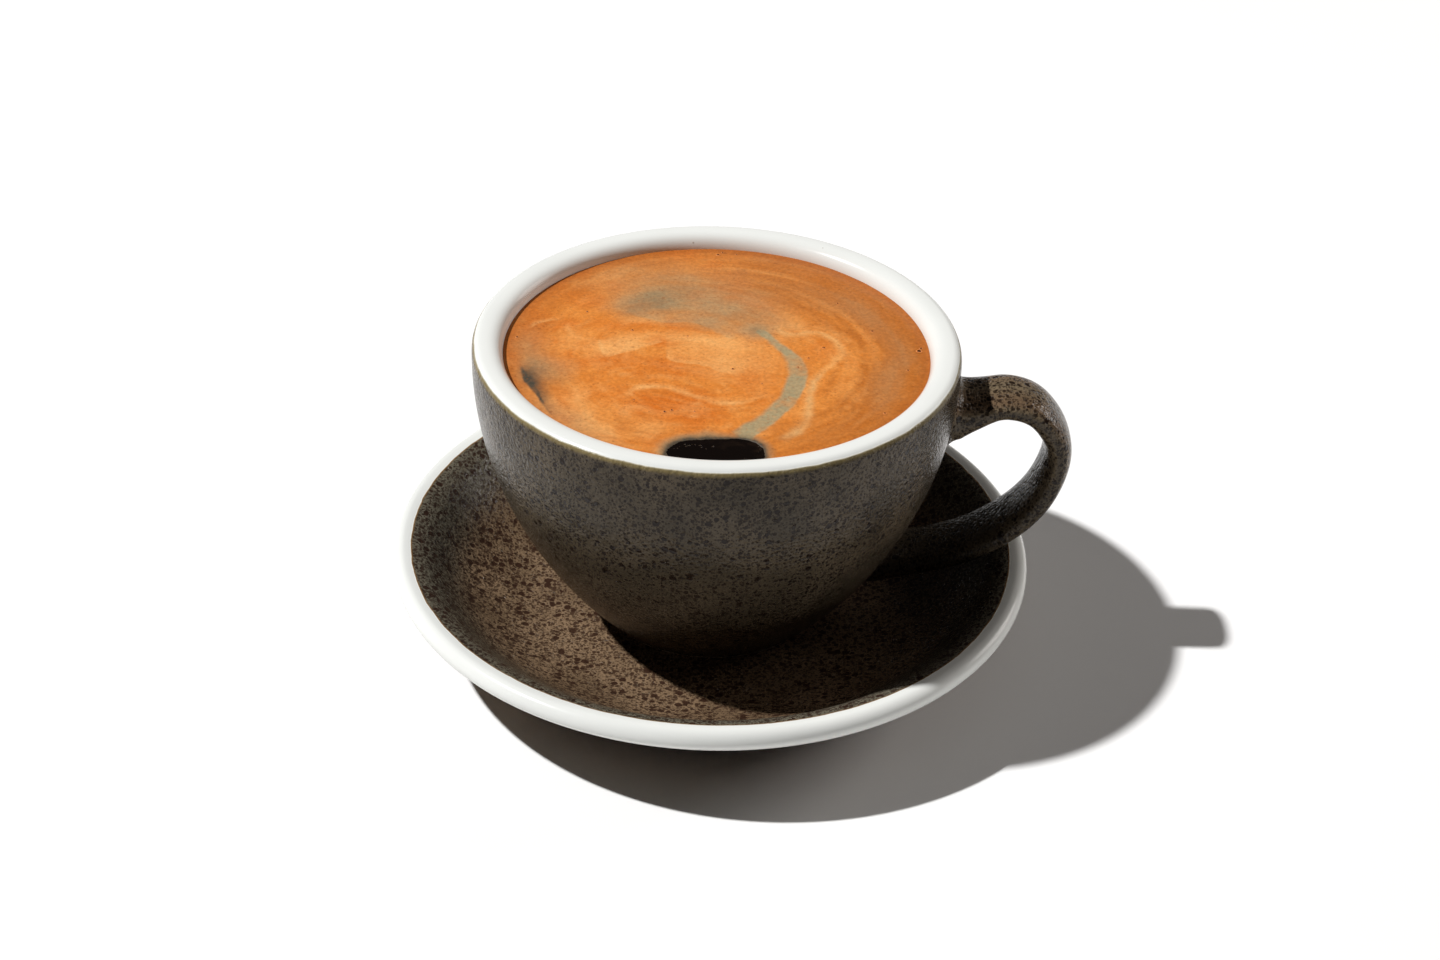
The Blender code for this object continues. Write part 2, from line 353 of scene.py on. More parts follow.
def fillet(places, centres, radius=2.4):
    """Moves the strap's points out along the cup's wall where they come close to it."""
    x, y, z = places.T
    away = np.hypot(x, y)
    slope = wall_radius(z + 0.5) - wall_radius(z - 0.5)
    tilt = np.sqrt(1 + slope**2)
    normal = np.stack([x / away / tilt, y / away / tilt, -slope / tilt], 1)
    gap = (away - wall_radius(z)) / tilt
    outward = places - np.stack([centres[:, 0], 0 * y, centres[:, 1]], 1)
    along = outward - (outward * normal).sum(1)[:, None] * normal
    along /= np.maximum(np.linalg.norm(along, axis=1), 1e-6)[:, None]
    rest = np.clip(radius - np.maximum(gap, 0), 0, radius)
    push = radius - np.sqrt(np.maximum(radius**2 - rest**2, 0))
    return places + along * push[:, None]


# Materials


class Nodes:
    """A short way to write a node tree."""

    def __init__(self, name):
        self.material = bpy.data.materials.new(name)
        self.material.use_nodes = True
        self.tree = self.material.node_tree
        self.shader = self.tree.nodes["Principled BSDF"]

    def add(self, kind, inputs=None, **settings):
        node = self.tree.nodes.new(kind)
        for key, value in settings.items():
            setattr(node, key, value)
        for key, value in (inputs or {}).items():
            self.put(node.inputs[key], value)
        return node

    def put(self, socket, value):
        if isinstance(value, bpy.types.NodeSocket):
            self.tree.links.new(value, socket)
        elif isinstance(value, tuple) and len(value) == 3 and socket.type == "RGBA":
            socket.default_value = (*value, 1.0)
        else:
            socket.default_value = value

    def set(self, **values):
        for key, value in values.items():
            self.put(self.shader.inputs[key.replace("_", " ")], value)

    def value(self, name):
        return self.add("ShaderNodeAttribute", attribute_name=name).outputs["Fac"]

    def math(self, operation, one, two=0.0, third=0.0, clamp=False):
        node = self.add("ShaderNodeMath", {0: one, 1: two, 2: third}, operation=operation, use_clamp=clamp)
        return node.outputs[0]

    def mapped(self, value, low, high, to_low=0.0, to_high=1.0, kind="SMOOTHSTEP"):
        node = self.add(
            "ShaderNodeMapRange",
            {"Value": value, "From Min": low, "From Max": high, "To Min": to_low, "To Max": to_high},
            interpolation_type=kind,
        )
        return node.outputs[0]

    def mix(self, factor, one, two):
        """A colour between two, where socket 0 of the node is the share and 6 and 7 are the colours."""
        node = self.add("ShaderNodeMix", data_type="RGBA")
        self.put(node.inputs[0], factor)
        self.put(node.inputs[6], one)
        self.put(node.inputs[7], two)
        return node.outputs[2]

    def scaled(self, vector, scale):
        node = self.add("ShaderNodeVectorMath", {0: vector, "Scale": scale}, operation="SCALE")
        return node.outputs[0]

    def place(self):
        """Place on the object in millimetres."""
        coordinates = self.add("ShaderNodeTexCoord").outputs["Object"]
        return self.add("ShaderNodeMapping", {"Vector": coordinates, "Scale": (1000, 1000, 1000)}).outputs[0]

    def noise(self, place, size, detail=2.0, rough=0.5, warp=0.0):
        """Noise with features of about that size in millimetres."""
        node = self.add(
            "ShaderNodeTexNoise",
            {"Vector": place, "Scale": 1 / size, "Detail": detail, "Roughness": rough, "Distortion": warp},
        )
        return node.outputs["Fac"]

    def cells(self, place, size):
        return self.add("ShaderNodeTexVoronoi", {"Vector": place, "Scale": 1 / size}).outputs

    def specks(self, place, size, least, most, more):
        """Roundish specks, one to a cell of that size in millimetres.

        Their radii lie between two shares of the cell, both raised by more.
        """
        stir = self.add("ShaderNodeTexNoise", {"Vector": place, "Scale": 1.6 / size, "Detail": 2.0}).outputs["Color"]
        offset = self.scaled(stir, 0.42 * size)
        moved = self.add("ShaderNodeVectorMath", {0: place, 1: offset}, operation="ADD").outputs[0]
        cell = self.cells(moved, size)
        chance = self.add("ShaderNodeSeparateColor", {"Color": cell["Color"]}).outputs[0]
        radius = self.math("ADD", self.mapped(chance, 0, 1, least, most, "LINEAR"), more)
        return self.mapped(self.math("SUBTRACT", cell["Distance"], radius), 0.05, -0.05)

    def bump(self, height, distance, strength=1.0, before=None):
        inputs = {"Height": height, "Distance": distance, "Strength": strength}
        if before:
            inputs["Normal"] = before
        return self.add("ShaderNodeBump", inputs).outputs[0]


def shaded(colour, share):
    return tuple(c * share for c in colour)


WHITE_GLAZE = linear(233, 234, 230)
FLECK = linear(150, 128, 100)
CLAY = linear(196, 178, 150)
PALE_LINE = linear(196, 188, 162)
# THIN_GLAZE_AND_PAINTED_LIGHT is lighter: thin glaze on the handle's edges and painted light on its upper face;
# THINNEST_GLAZE is the brown of the thinnest glaze on its edges.
THIN_GLAZE_AND_PAINTED_LIGHT, THINNEST_GLAZE = linear(124, 108, 86), linear(98, 68, 46)


def glaze(name, ground, ground_two, spot, spot_share, line_width, line_colour, slope, slope_shade_reach):
    """Speckled stoneware glaze that meets a glossy white glaze along a line.

    The value "line" is the distance in millimetres from that line, above 0 on the speckled side. Next to it the
    glaze has line_colour over line_width, and then slope up to slope_shade_reach, where ground and ground_two begin;
    slope is a painted shade, darker where a wall turns from the key light.
    The value "clay" is 1 on the bare rings that stand on something, and "rub" rises where the glaze runs thin and
    where a painted light lightens the handle's upper face.
    """
    n = Nodes(name)
    place = n.place()
    wobble = n.math("MULTIPLY_ADD", n.noise(place, 5.0, 3.0), 0.5, -0.25)
    line = n.math("ADD", n.value("line"), wobble)
    speckled = n.mapped(line, -0.12, 0.22)
    broad = n.noise(place, 14.0, 3.0)
    more = n.mapped(n.noise(place, 4.0, 3.0, 0.6), 0.35, 0.65, -0.05, 0.05, "LINEAR")
    more = n.math("ADD", n.math("MULTIPLY_ADD", n.value("rub"), 0.06, spot_share), more)
    large = n.specks(place, 1.9, -0.5, 0.34, more)
    middle = n.math("MULTIPLY", n.specks(place, 1.05, -0.1, 0.38, more), 0.9)
    small = n.math("MULTIPLY", n.specks(place, 0.6, 0.04, 0.42, more), 0.7)
    spots = n.math("MAXIMUM", large, n.math("MAXIMUM", middle, small))

    # The dark side: ground, painted shade on its slope, thin places and painted light on the handle, specks, a fine
    # grain, and the line itself.
    base = n.mix(n.mapped(broad, 0.35, 0.65), ground, ground_two)
    # Painted shade: near the line the ground gives way to the slope colour, which on the saucer is the shade of its
    # sloping wall, turned from the key light.
    base = n.mix(n.mapped(line, 0.35 * slope_shade_reach, slope_shade_reach), slope, base)
    # Thin glaze on the handle's edges, and painted light on its upper face, lighten the ground.
    base = n.mix(n.mapped(n.value("rub"), 0.0, 0.5, 0.0, 0.75, "LINEAR"), base, THIN_GLAZE_AND_PAINTED_LIGHT)
    base = n.mix(n.mapped(n.value("rub"), 0.5, 1.0, 0.0, 0.8, "LINEAR"), base, THINNEST_GLAZE)
    colour = n.mix(n.math("MULTIPLY", spots, 0.92), base, spot)
    grain = n.mapped(n.noise(place, 0.38, 2.0, 0.7), 0.3, 0.7, 0.72, 1.26, "LINEAR")
    near_line = n.mix(n.mapped(line, -0.1, 0.3 * line_width), PALE_LINE, line_colour)
    border = n.mapped(line, 0.3 * line_width, line_width)
    dark_side = n.mix(border, near_line, n.scaled(colour, grain))

    # The white side, and bare clay on the rings.
    haze = n.noise(place, 22.0, 2.0)
    flecks = n.mapped(n.cells(place, 9.0)["Distance"], 0.035, 0.02)
    white = n.mix(n.mapped(haze, 0.3, 0.7), WHITE_GLAZE, shaded(WHITE_GLAZE, 0.97))
    white = n.mix(n.math("MULTIPLY", flecks, 0.5), white, FLECK)
    glazed = n.mix(speckled, white, dark_side)
    clay = n.mix(n.noise(place, 0.8, 4.0), CLAY, shaded(CLAY, 0.8))
    bare = n.value("clay")
    n.set(Base_Color=n.mix(bare, glazed, clay))

    dark_rough = n.math("MULTIPLY_ADD", n.noise(place, 1.4, 3.0), 0.12, 0.13)
    rough = n.add("ShaderNodeMix", {0: speckled, 2: 0.2, 3: dark_rough}).outputs[0]
    n.set(Roughness=n.add("ShaderNodeMix", {0: bare, 2: rough, 3: 0.85}).outputs[0])
    n.set(IOR=1.28)

    # Relief: a fired skin with a dip at each speck on the dark side, and a softer skin on the white one.
    peel = n.math("ADD", n.noise(place, 0.8, 0.5, 0.5), n.math("MULTIPLY", n.noise(place, 3.4, 0.0), 0.6))
    dips = n.math("MULTIPLY", spots, -0.3)
    relief = n.math("MULTIPLY", n.math("ADD", peel, dips), speckled)
    soft = n.math("MULTIPLY", n.noise(place, 7.0, 1.0), n.math("SUBTRACT", 1.0, speckled))
    skin = n.bump(soft, 0.00006, 0.6)
    n.set(Normal=n.bump(relief, 0.00024, 1.0, skin))
    return n.material


def coffee_material():
    n = Nodes("black_coffee")
    place = n.place()
    film = n.mapped(n.noise(place, 6.0, 3.0, 0.6, 0.8), 0.5, 0.8)
    n.set(Base_Color=n.mix(film, (0.0045, 0.0028, 0.0022), (0.014, 0.008, 0.005)))
    n.set(Roughness=n.mapped(film, 0.0, 1.0, 0.04, 0.12), IOR=1.34)
    n.set(Normal=n.bump(n.noise(place, 4.0, 2.0), 0.00005, 0.5))
    return n.material


# Laid over the foam's own colour in this order, each by the value of its name.
CREMA_COLOURS = {
    "brown": linear(182, 104, 38),
    "burnt": linear(205, 106, 30),
    "pale": linear(246, 190, 120),
    "grey": linear(165, 149, 113),
    "slate": linear(76, 68, 56),
    "rim": linear(160, 86, 32),
}


def crema_material():
    """Foam whose swirls come from values drawn on the mesh, with fine bubbles on top."""
    n = Nodes("crema_foam")
    place = n.place()
    drift = n.noise(place, 7.0, 4.0, 0.55, 1.2)
    fine = n.noise(place, 1.0, 3.0, 0.6, 0.5)
    grain = n.noise(place, 0.28, 2.0, 0.6)
    base = n.mix(n.mapped(drift, 0.3, 0.7), linear(213, 126, 49), linear(223, 138, 59))
    loosen = n.mapped(fine, 0.25, 0.75, 0.86, 1.1, "LINEAR")

    def strength(name):
        return n.math("MULTIPLY", n.value(name), loosen, clamp=True)

    colour = base
    for name, over in CREMA_COLOURS.items():
        colour = n.mix(strength(name), colour, over)
    crowd = n.mapped(n.noise(place, 6.0, 2.0), 0.35, 0.65, -0.06, 0.06, "LINEAR")
    pore = n.math("MAXIMUM", n.specks(place, 0.95, -0.16, 0.32, crowd), n.specks(place, 2.1, -0.5, 0.2, crowd))
    colour = n.mix(n.math("MULTIPLY", pore, 0.32), colour, linear(146, 78, 28))
    froth = n.mapped(n.noise(place, 0.9, 3.0, 0.65), 0.3, 0.7, 0.82, 1.14, "LINEAR")
    colour = n.scaled(colour, froth)
    colour = n.mix(n.math("MULTIPLY", n.mapped(grain, 0.62, 0.8), 0.3), colour, linear(150, 84, 34))
    n.set(Base_Color=colour)
    n.set(Roughness=n.mapped(fine, 0.2, 0.8, 0.42, 0.56, "LINEAR"), IOR=1.36)
    height = n.math("MULTIPLY_ADD", pore, -0.7, n.math("MULTIPLY", grain, 0.5))
    n.set(Normal=n.bump(height, 0.00005, 0.5))
    return n.material


def bubble_material():
    n = Nodes("bubble_skin")
    place = n.place()
    n.set(Base_Color=n.mix(n.noise(place, 0.3, 2.0), linear(34, 26, 20), linear(70, 56, 42)))
    n.set(Roughness=0.06, IOR=1.33)
    n.set(Normal=n.bump(n.noise(place, 0.2, 1.0), 0.00001, 0.3))
    return n.material


def pit_material():
    n = Nodes("open_pores")
    place = n.place()
    depth = n.value("depth")
    foam = n.mix(n.noise(place, 0.3, 2.0), linear(214, 124, 58), linear(228, 146, 82))
    n.set(Base_Color=n.mix(depth, foam, linear(58, 30, 16)))
    n.set(Roughness=n.mapped(depth, 0, 1, 0.5, 0.2, "LINEAR"))
    n.set(Normal=n.bump(n.noise(place, 0.15, 2.0), 0.00001, 0.5))
    return n.material


# Swirls in the crema. Lines are (x, y, width) in millimetres about the cup's axis, at the drink's level.

BAND = (
    (9.6, 10.8, 1.2),
    (11.8, 8.2, 1.8),
    (13.6, 5.2, 2.2),
    (16.2, 0.4, 2.8),
    (18.4, -3.7, 3.6),
    (18.9, -7.8, 4.1),
    (18.5, -12.5, 4.4),
    (17.4, -17.5, 4.2),
    (15.8, -22.2, 4.0),
    (13.4, -26.8, 4.0),
    (10.6, -31.0, 4.2),
    (7.8, -34.4, 5.0),
    (5.4, -37.2, 6.0),
)
ARC = (
    (-20.4, -24.0, 1.0),
    (-19.2, -19.4, 1.3),
    (-15.4, -16.8, 1.6),
    (-9.8, -17.4, 1.8),
    (-4.2, -20.8, 1.8),
    (0.9, -22.6, 1.8),
    (5.8, -22.4, 1.7),
    (10.0, -20.4, 1.4),
    (13.0, -16.6, 1.0),
)
LOOP = (
    (13.4, 14.5, 1.0),
    (14.6, 10.8, 1.2),
    (16.6, 9.2, 1.4),
    (19.4, 9.3, 1.4),
    (22.3, 10.2, 1.4),
    (25.5, 9.2, 1.5),
    (28.0, 6.2, 1.6),
    (29.2, 2.6, 1.5),
    (28.6, -1.0, 1.3),
    (26.8, -4.5, 1.2),
    (24.4, -8.2, 1.2),
    (22.6, -12.4, 1.3),
    (21.7, -16.8, 1.5),
    (21.1, -21.0, 1.6),
    (20.8, -25.2, 1.8),
    (21.0, -29.3, 1.9),
    (19.6, -32.4, 2.0),
    (16.6, -35.2, 2.2),
    (13.6, -38.2, 2.6),
)
LOOP_TAIL = (
    (24.4, -8.2, 0.8),
    (22.6, -12.4, 1.0),
    (21.7, -17, 1.2),
    (21, -22, 1.4),
    (21, -29, 1.6),
    (17.5, -34.6, 2.0),
    (13.6, -38.2, 2.6),
)
WEDGE = ((-26.0, -4.8, 0.6), (-23.4, -3.0, 0.9), (-19, -0.4, 1.1), (-15.4, 1.8, 1.0), (-12.6, 3.9, 0.6))
WAVE = (
    (-11.8, 2.6, 0.6),
    (-11.0, -3.0, 0.9),
    (-8.8, -5.6, 1.0),
    (-4.6, -6.2, 1.0),
    (-1.6, -6.8, 1.1),
    (2.0, -8.8, 1.2),
    (5.0, -9.2, 0.8),
)
CLOUD_EDGE = (
    (-21.6, 17, 1.8),
    (-17, 15.4, 1.6),
    (-12.5, 13.2, 1.4),
    (-6.4, 13.4, 1.4),
    (-1.8, 11.4, 2.0),
    (2.4, 8.2, 2.6),
    (5, 6.4, 2.0),
)
LEFT_GAP = (
    (-45.0, -8.2, 0.4),
    (-43.6, -12.4, 2.0),
    (-42.0, -16.6, 2.8),
    (-40.4, -20.4, 2.6),
    (-38.9, -24.2, 1.6),
    (-37.0, -28.7, 0.8),
    (-34.8, -32.4, 0.4),
)

# Patches are (strength, centre, half sizes, turn in degrees, softness of the edge).
BROWN_PATCHES = (
    (0.5, (33.5, -16), (4.6, 11), -8, 0.8),
    (0.4, (30, 28), (10, 7), -42, 0.9),
    (0.45, (42, 12), (3, 13), 6, 0.8),
    (0.5, (46.5, -4), (1.6, 9), 2, 0.8),
    (0.26, (11.5, 37), (4, 12), 4, 1.0),
    (0.4, (14.4, 28.5), (4.4, 3.4), 30, 1.0),
    (0.4, (-21.5, 39), (9, 2), 24, 0.9),
    (0.35, (5, 36.5), (1.6, 4), 10, 0.9),
    (0.5, (27, -34), (14, 9), 40, 0.9),
    (0.35, (-32, 34), (12, 7), 46, 0.9),
    (0.3, (6, 25), (14, 9), -24, 1.0),
    (0.4, (41.5, -6), (5, 15), -6, 1.0),
    (0.3, (-44, -2), (4, 12), 6, 1.0),
)
BURNT_PATCHES = (
    (0.75, (-8.3, -25), (9, 6.6), 8, 0.8),
    (0.45, (-23.6, 10.2), (8, 3.0), 4, 1.0),
    (0.4, (-30.4, 20.8), (4.6, 3), 10, 1.0),
    (0.25, (-35, 25.4), (6, 2.6), 30, 1.0),
    (0.2, (-5.5, 9.4), (6, 1.8), -6, 1.0),
    (0.6, (-12.8, 2.0), (2.4, 2.6), 35, 0.8),
    (0.5, (-37, 9.6), (2.8, 1.6), 25, 0.9),
    (0.4, (24.5, 2.2), (3.6, 3.8), 0, 0.9),
    (0.45, (-10, -9), (13, 4), -4, 0.9),
    (0.35, (9.5, -14), (4, 7), 14, 0.9),
    (0.5, (-27, -7), (7, 3.4), 14, 0.9),
    (0.45, (8, 23.5), (5, 2.6), -24, 0.9),
    (0.3, (-44, 9), (4, 9), 8, 0.9),
)
PALE_PATCHES = (
    (0.16, (3.5, -2.0), (11, 8.5), -8, 1.0),
    (0.3, (-3, 4.6), (11, 2.4), -4, 1.0),
    (0.25, (-30, -24), (2.6, 8), 18, 1.0),
    (0.25, (-27, 34), (8, 3), 30, 1.0),
    (0.3, (-18, 12.6), (5, 1.8), -8, 1.0),
    (0.08, (-22, -34), (17, 6), -24, 1.0),
)
ABOVE_WEDGE = ((0.5, (-21.8, 0.2), (6.4, 3.8), 30, 0.9),)
ABOVE_WAVE = ((0.2, (-1.5, -2.0), (12, 6.5), -10, 1.0),)
CLOUD_PATCHES = (
    (0.34, (-17.5, 21.0), (6.5, 5.0), 48, 1.0),
    (0.3, (-13.5, 25.0), (12, 12), 30, 1.0),
    (0.27, (-2.5, 24), (15, 12), -22, 1.0),
    (0.3, (5.0, 15.5), (10, 9), -40, 1.0),
    (0.06, (-6, 35.0), (14, 5), 6, 1.0),
)
CLOUD_CORES = (
    (0.24, (-17.6, 20), (5.4, 3.4), 46, 1.0),
    (0.16, (-12, 25), (7, 7), 20, 1.0),
)
GREY_PATCHES = (
    (0.4, (8.8, 9.5), (3.6, 2.6), 16, 0.9),
    (0.3, (-43.4, -3.5), (4.2, 9), 8, 1.0),
    (0.36, (-39.0, -11.0), (6, 5), 30, 1.0),
    (0.22, (40.6, -9), (3.0, 13), -8, 1.0),
    (0.16, (36.5, 17), (3, 11), 24, 1.0),
    (0.3, (-31.5, -33.5), (3.4, 13), 46, 1.0),
    (0.12, (27, 26), (12, 3.5), -40, 1.0),
)
SLATE_PATCHES = (
    (0.3, (-40.0, -13.4), (4.6, 5.6), 20, 1.0),
    (0.22, (9.2, 9.6), (1.8, 1.2), 10, 0.9),
)

# Strokes are (strength, line, fade at its left, fade at its right, fade at its ends as a share of it).
BROWN_STROKES = (
    (0.3, ((31.5, 6.5, 1.2), (30.5, 11, 1.4), (26, 14.5, 1.5), (20, 16, 1.2)), 1.8, 1.8, 0.3),
    (0.3, ((37, 3, 1.6), (35.5, 12, 1.8), (30, 18.5, 1.8), (22, 21.5, 1.3)), 2.4, 2.4, 0.3),
    (0.35, ((30.5, -2, 1.2), (27.5, -9, 1.4), (25.5, -17, 1.4), (25, -27, 1.2)), 1.6, 1.6, 0.3),
    (0.25, ((-0.6, -25.1, 0.7), (5, -26.1, 0.8), (9.4, -25, 0.8), (13, -20, 0.6)), 1.1, 0.9, 0.25),
    (0.4, ((-44.2, 6, 0.7), (-41.3, 9.2, 0.9), (-37.4, 11.8, 1.2), (-36, 9, 1.0)), 0.5, 2.4, 0.3),
)
HOOK = ((-36.4, 12.4, 0.6), (-35, 8.0, 0.9), (-33.8, 4.8, 1.0), (-31, 3.5, 1.0), (-26.8, 3.2, 0.8))
SWELL = ((15, 16.5, 2.0), (16.6, 12.5, 3.0), (21.4, 13, 2.4), (27, 11.5, 2.0), (31, 6, 1.8), (32.4, 0, 1.6))
PALE_STROKES = (
    (0.44, WEDGE, 3.4, 0.5, 0.12),
    (0.36, ((-27.8, 3.4, 1.0), (-27.0, 0.0, 1.4), (-26.0, -4.0, 0.8)), 5.0, 1.0, 0.15),
    (0.42, WAVE, 3.0, 0.5, 0.2),
    (0.3, HOOK, 1.6, 2.2, 0.3),
    (0.34, ((-45.4, 6.4, 0.6), (-43.4, 9.8, 0.8), (-40, 12.0, 0.9), (-36.4, 13.0, 0.8)), 2.2, 0.7, 0.3),
    (0.56, LOOP, 1.8, 3.2, 0.08),
    (0.16, LOOP, 4.0, 6.0, 0.1),
    (0.22, SWELL, 3.4, 3.2, 0.3),
)
ARC_STROKE = ((0.56, ARC, 3.4, 1.8, 0.2),)
BAND_STROKE = ((1.1, BAND, 0.8, 1.5, 0.03),)
GREY_STROKES = (
    (0.16, BAND, 4.0, 1.8, 0.05),
    (0.3, CLOUD_EDGE, 3.0, 0.9, 0.12),
    (0.28, LOOP_TAIL, 2.4, 2.0, 0.1),
)
SLATE_STROKES = ((0.72, LEFT_GAP, 4.2, 0.7, 0.14), (0.4, LEFT_GAP, 9.0, 0.8, 0.2))

# The most that each value of the crema reaches.
MOST = {"brown": 0.9, "burnt": 0.85, "pale": 0.85, "grey": 0.95, "slate": 1, "rim": 1}


def nearest(line, x, y):
    """Distance to a smooth line, the width of the line there, how far along it that is, and on which side."""
    fine = spline(line, 7)
    best = np.full(x.shape, 1e9)
    width, where, side = np.zeros(x.shape), np.zeros(x.shape), np.zeros(x.shape)
    count = len(fine) - 1
    for k in range(count):
        (ax, ay, aw), (bx, by, bw) = fine[k], fine[k + 1]
        dx, dy = bx - ax, by - ay
        t = np.clip(((x - ax) * dx + (y - ay) * dy) / (dx * dx + dy * dy), 0, 1)
        gap = np.hypot(x - ax - t * dx, y - ay - t * dy)
        closer = gap < best
        best = np.where(closer, gap, best)
        width = np.where(closer, aw + t * (bw - aw), width)
        where = np.where(closer, (k + t) / count, where)
        side = np.where(closer, np.sign(dx * (y - ay) - dy * (x - ax)), side)
    return best, width, where, side


def ribbon(line, x, y, left, right, ends):
    """1 on the line's width, fading over these distances at its left and right, and towards its ends."""
    gap, width, where, side = nearest(line, x, y)
    soft = np.where(side > 0, left, right)
    fade = smooth(0, ends, where) * smooth(0, ends, 1 - where)
    return (1 - smooth(0, 1, (gap - width / 2) / soft + 0.5)) * fade


def blob(x, y, centre, half, turn, soft):
    """1 inside a rotated oval, fading out round its edge by a share of its size."""
    c, s = math.cos(math.radians(turn)), math.sin(math.radians(turn))
    u, v = x - centre[0], y - centre[1]
    away = np.hypot((u * c + v * s) / half[0], (v * c - u * s) / half[1])
    return 1 - smooth(1 - soft, 1 + soft, away)


def bay_distance(x, y):
    """Rough distance in millimetres outside the bay where bare coffee shows, below 0 inside it."""
    c, s = math.cos(BAY_TURN), math.sin(BAY_TURN)
    u, v = x - BAY_CENTRE[0], y - BAY_CENTRE[1]
    u, v = u * c + v * s, v * c - u * s
    across, down = abs(u / BAY_HALF[0]), abs(v / BAY_HALF[1])
    reach = (across**BAY_POWER + down**BAY_POWER) ** (1 / BAY_POWER)
    return (reach - 1) * np.hypot(u, v) / np.maximum(reach, 1e-6)


def streaks(x, y, centre, cell, seed, stretch=9.0):
    """Noise drawn out round a centre, as foam is by its flow: narrow outwards and long round it."""
    u, v = x - centre[0], y - centre[1]
    away = np.hypot(u, v) + 0.9 * fractal(x, y, 13, seed + 7) + 0.3 * cell * fractal(x, y, 3.5, seed + 11)
    bend = np.hypot(u, v) + 6.0
    round_it = np.stack([u, v]) / bend * (bend.mean() / stretch)
    return fractal(away + round_it[0], 3.0 * round_it[1] + 0.4 * round_it[0], cell, seed, 2)


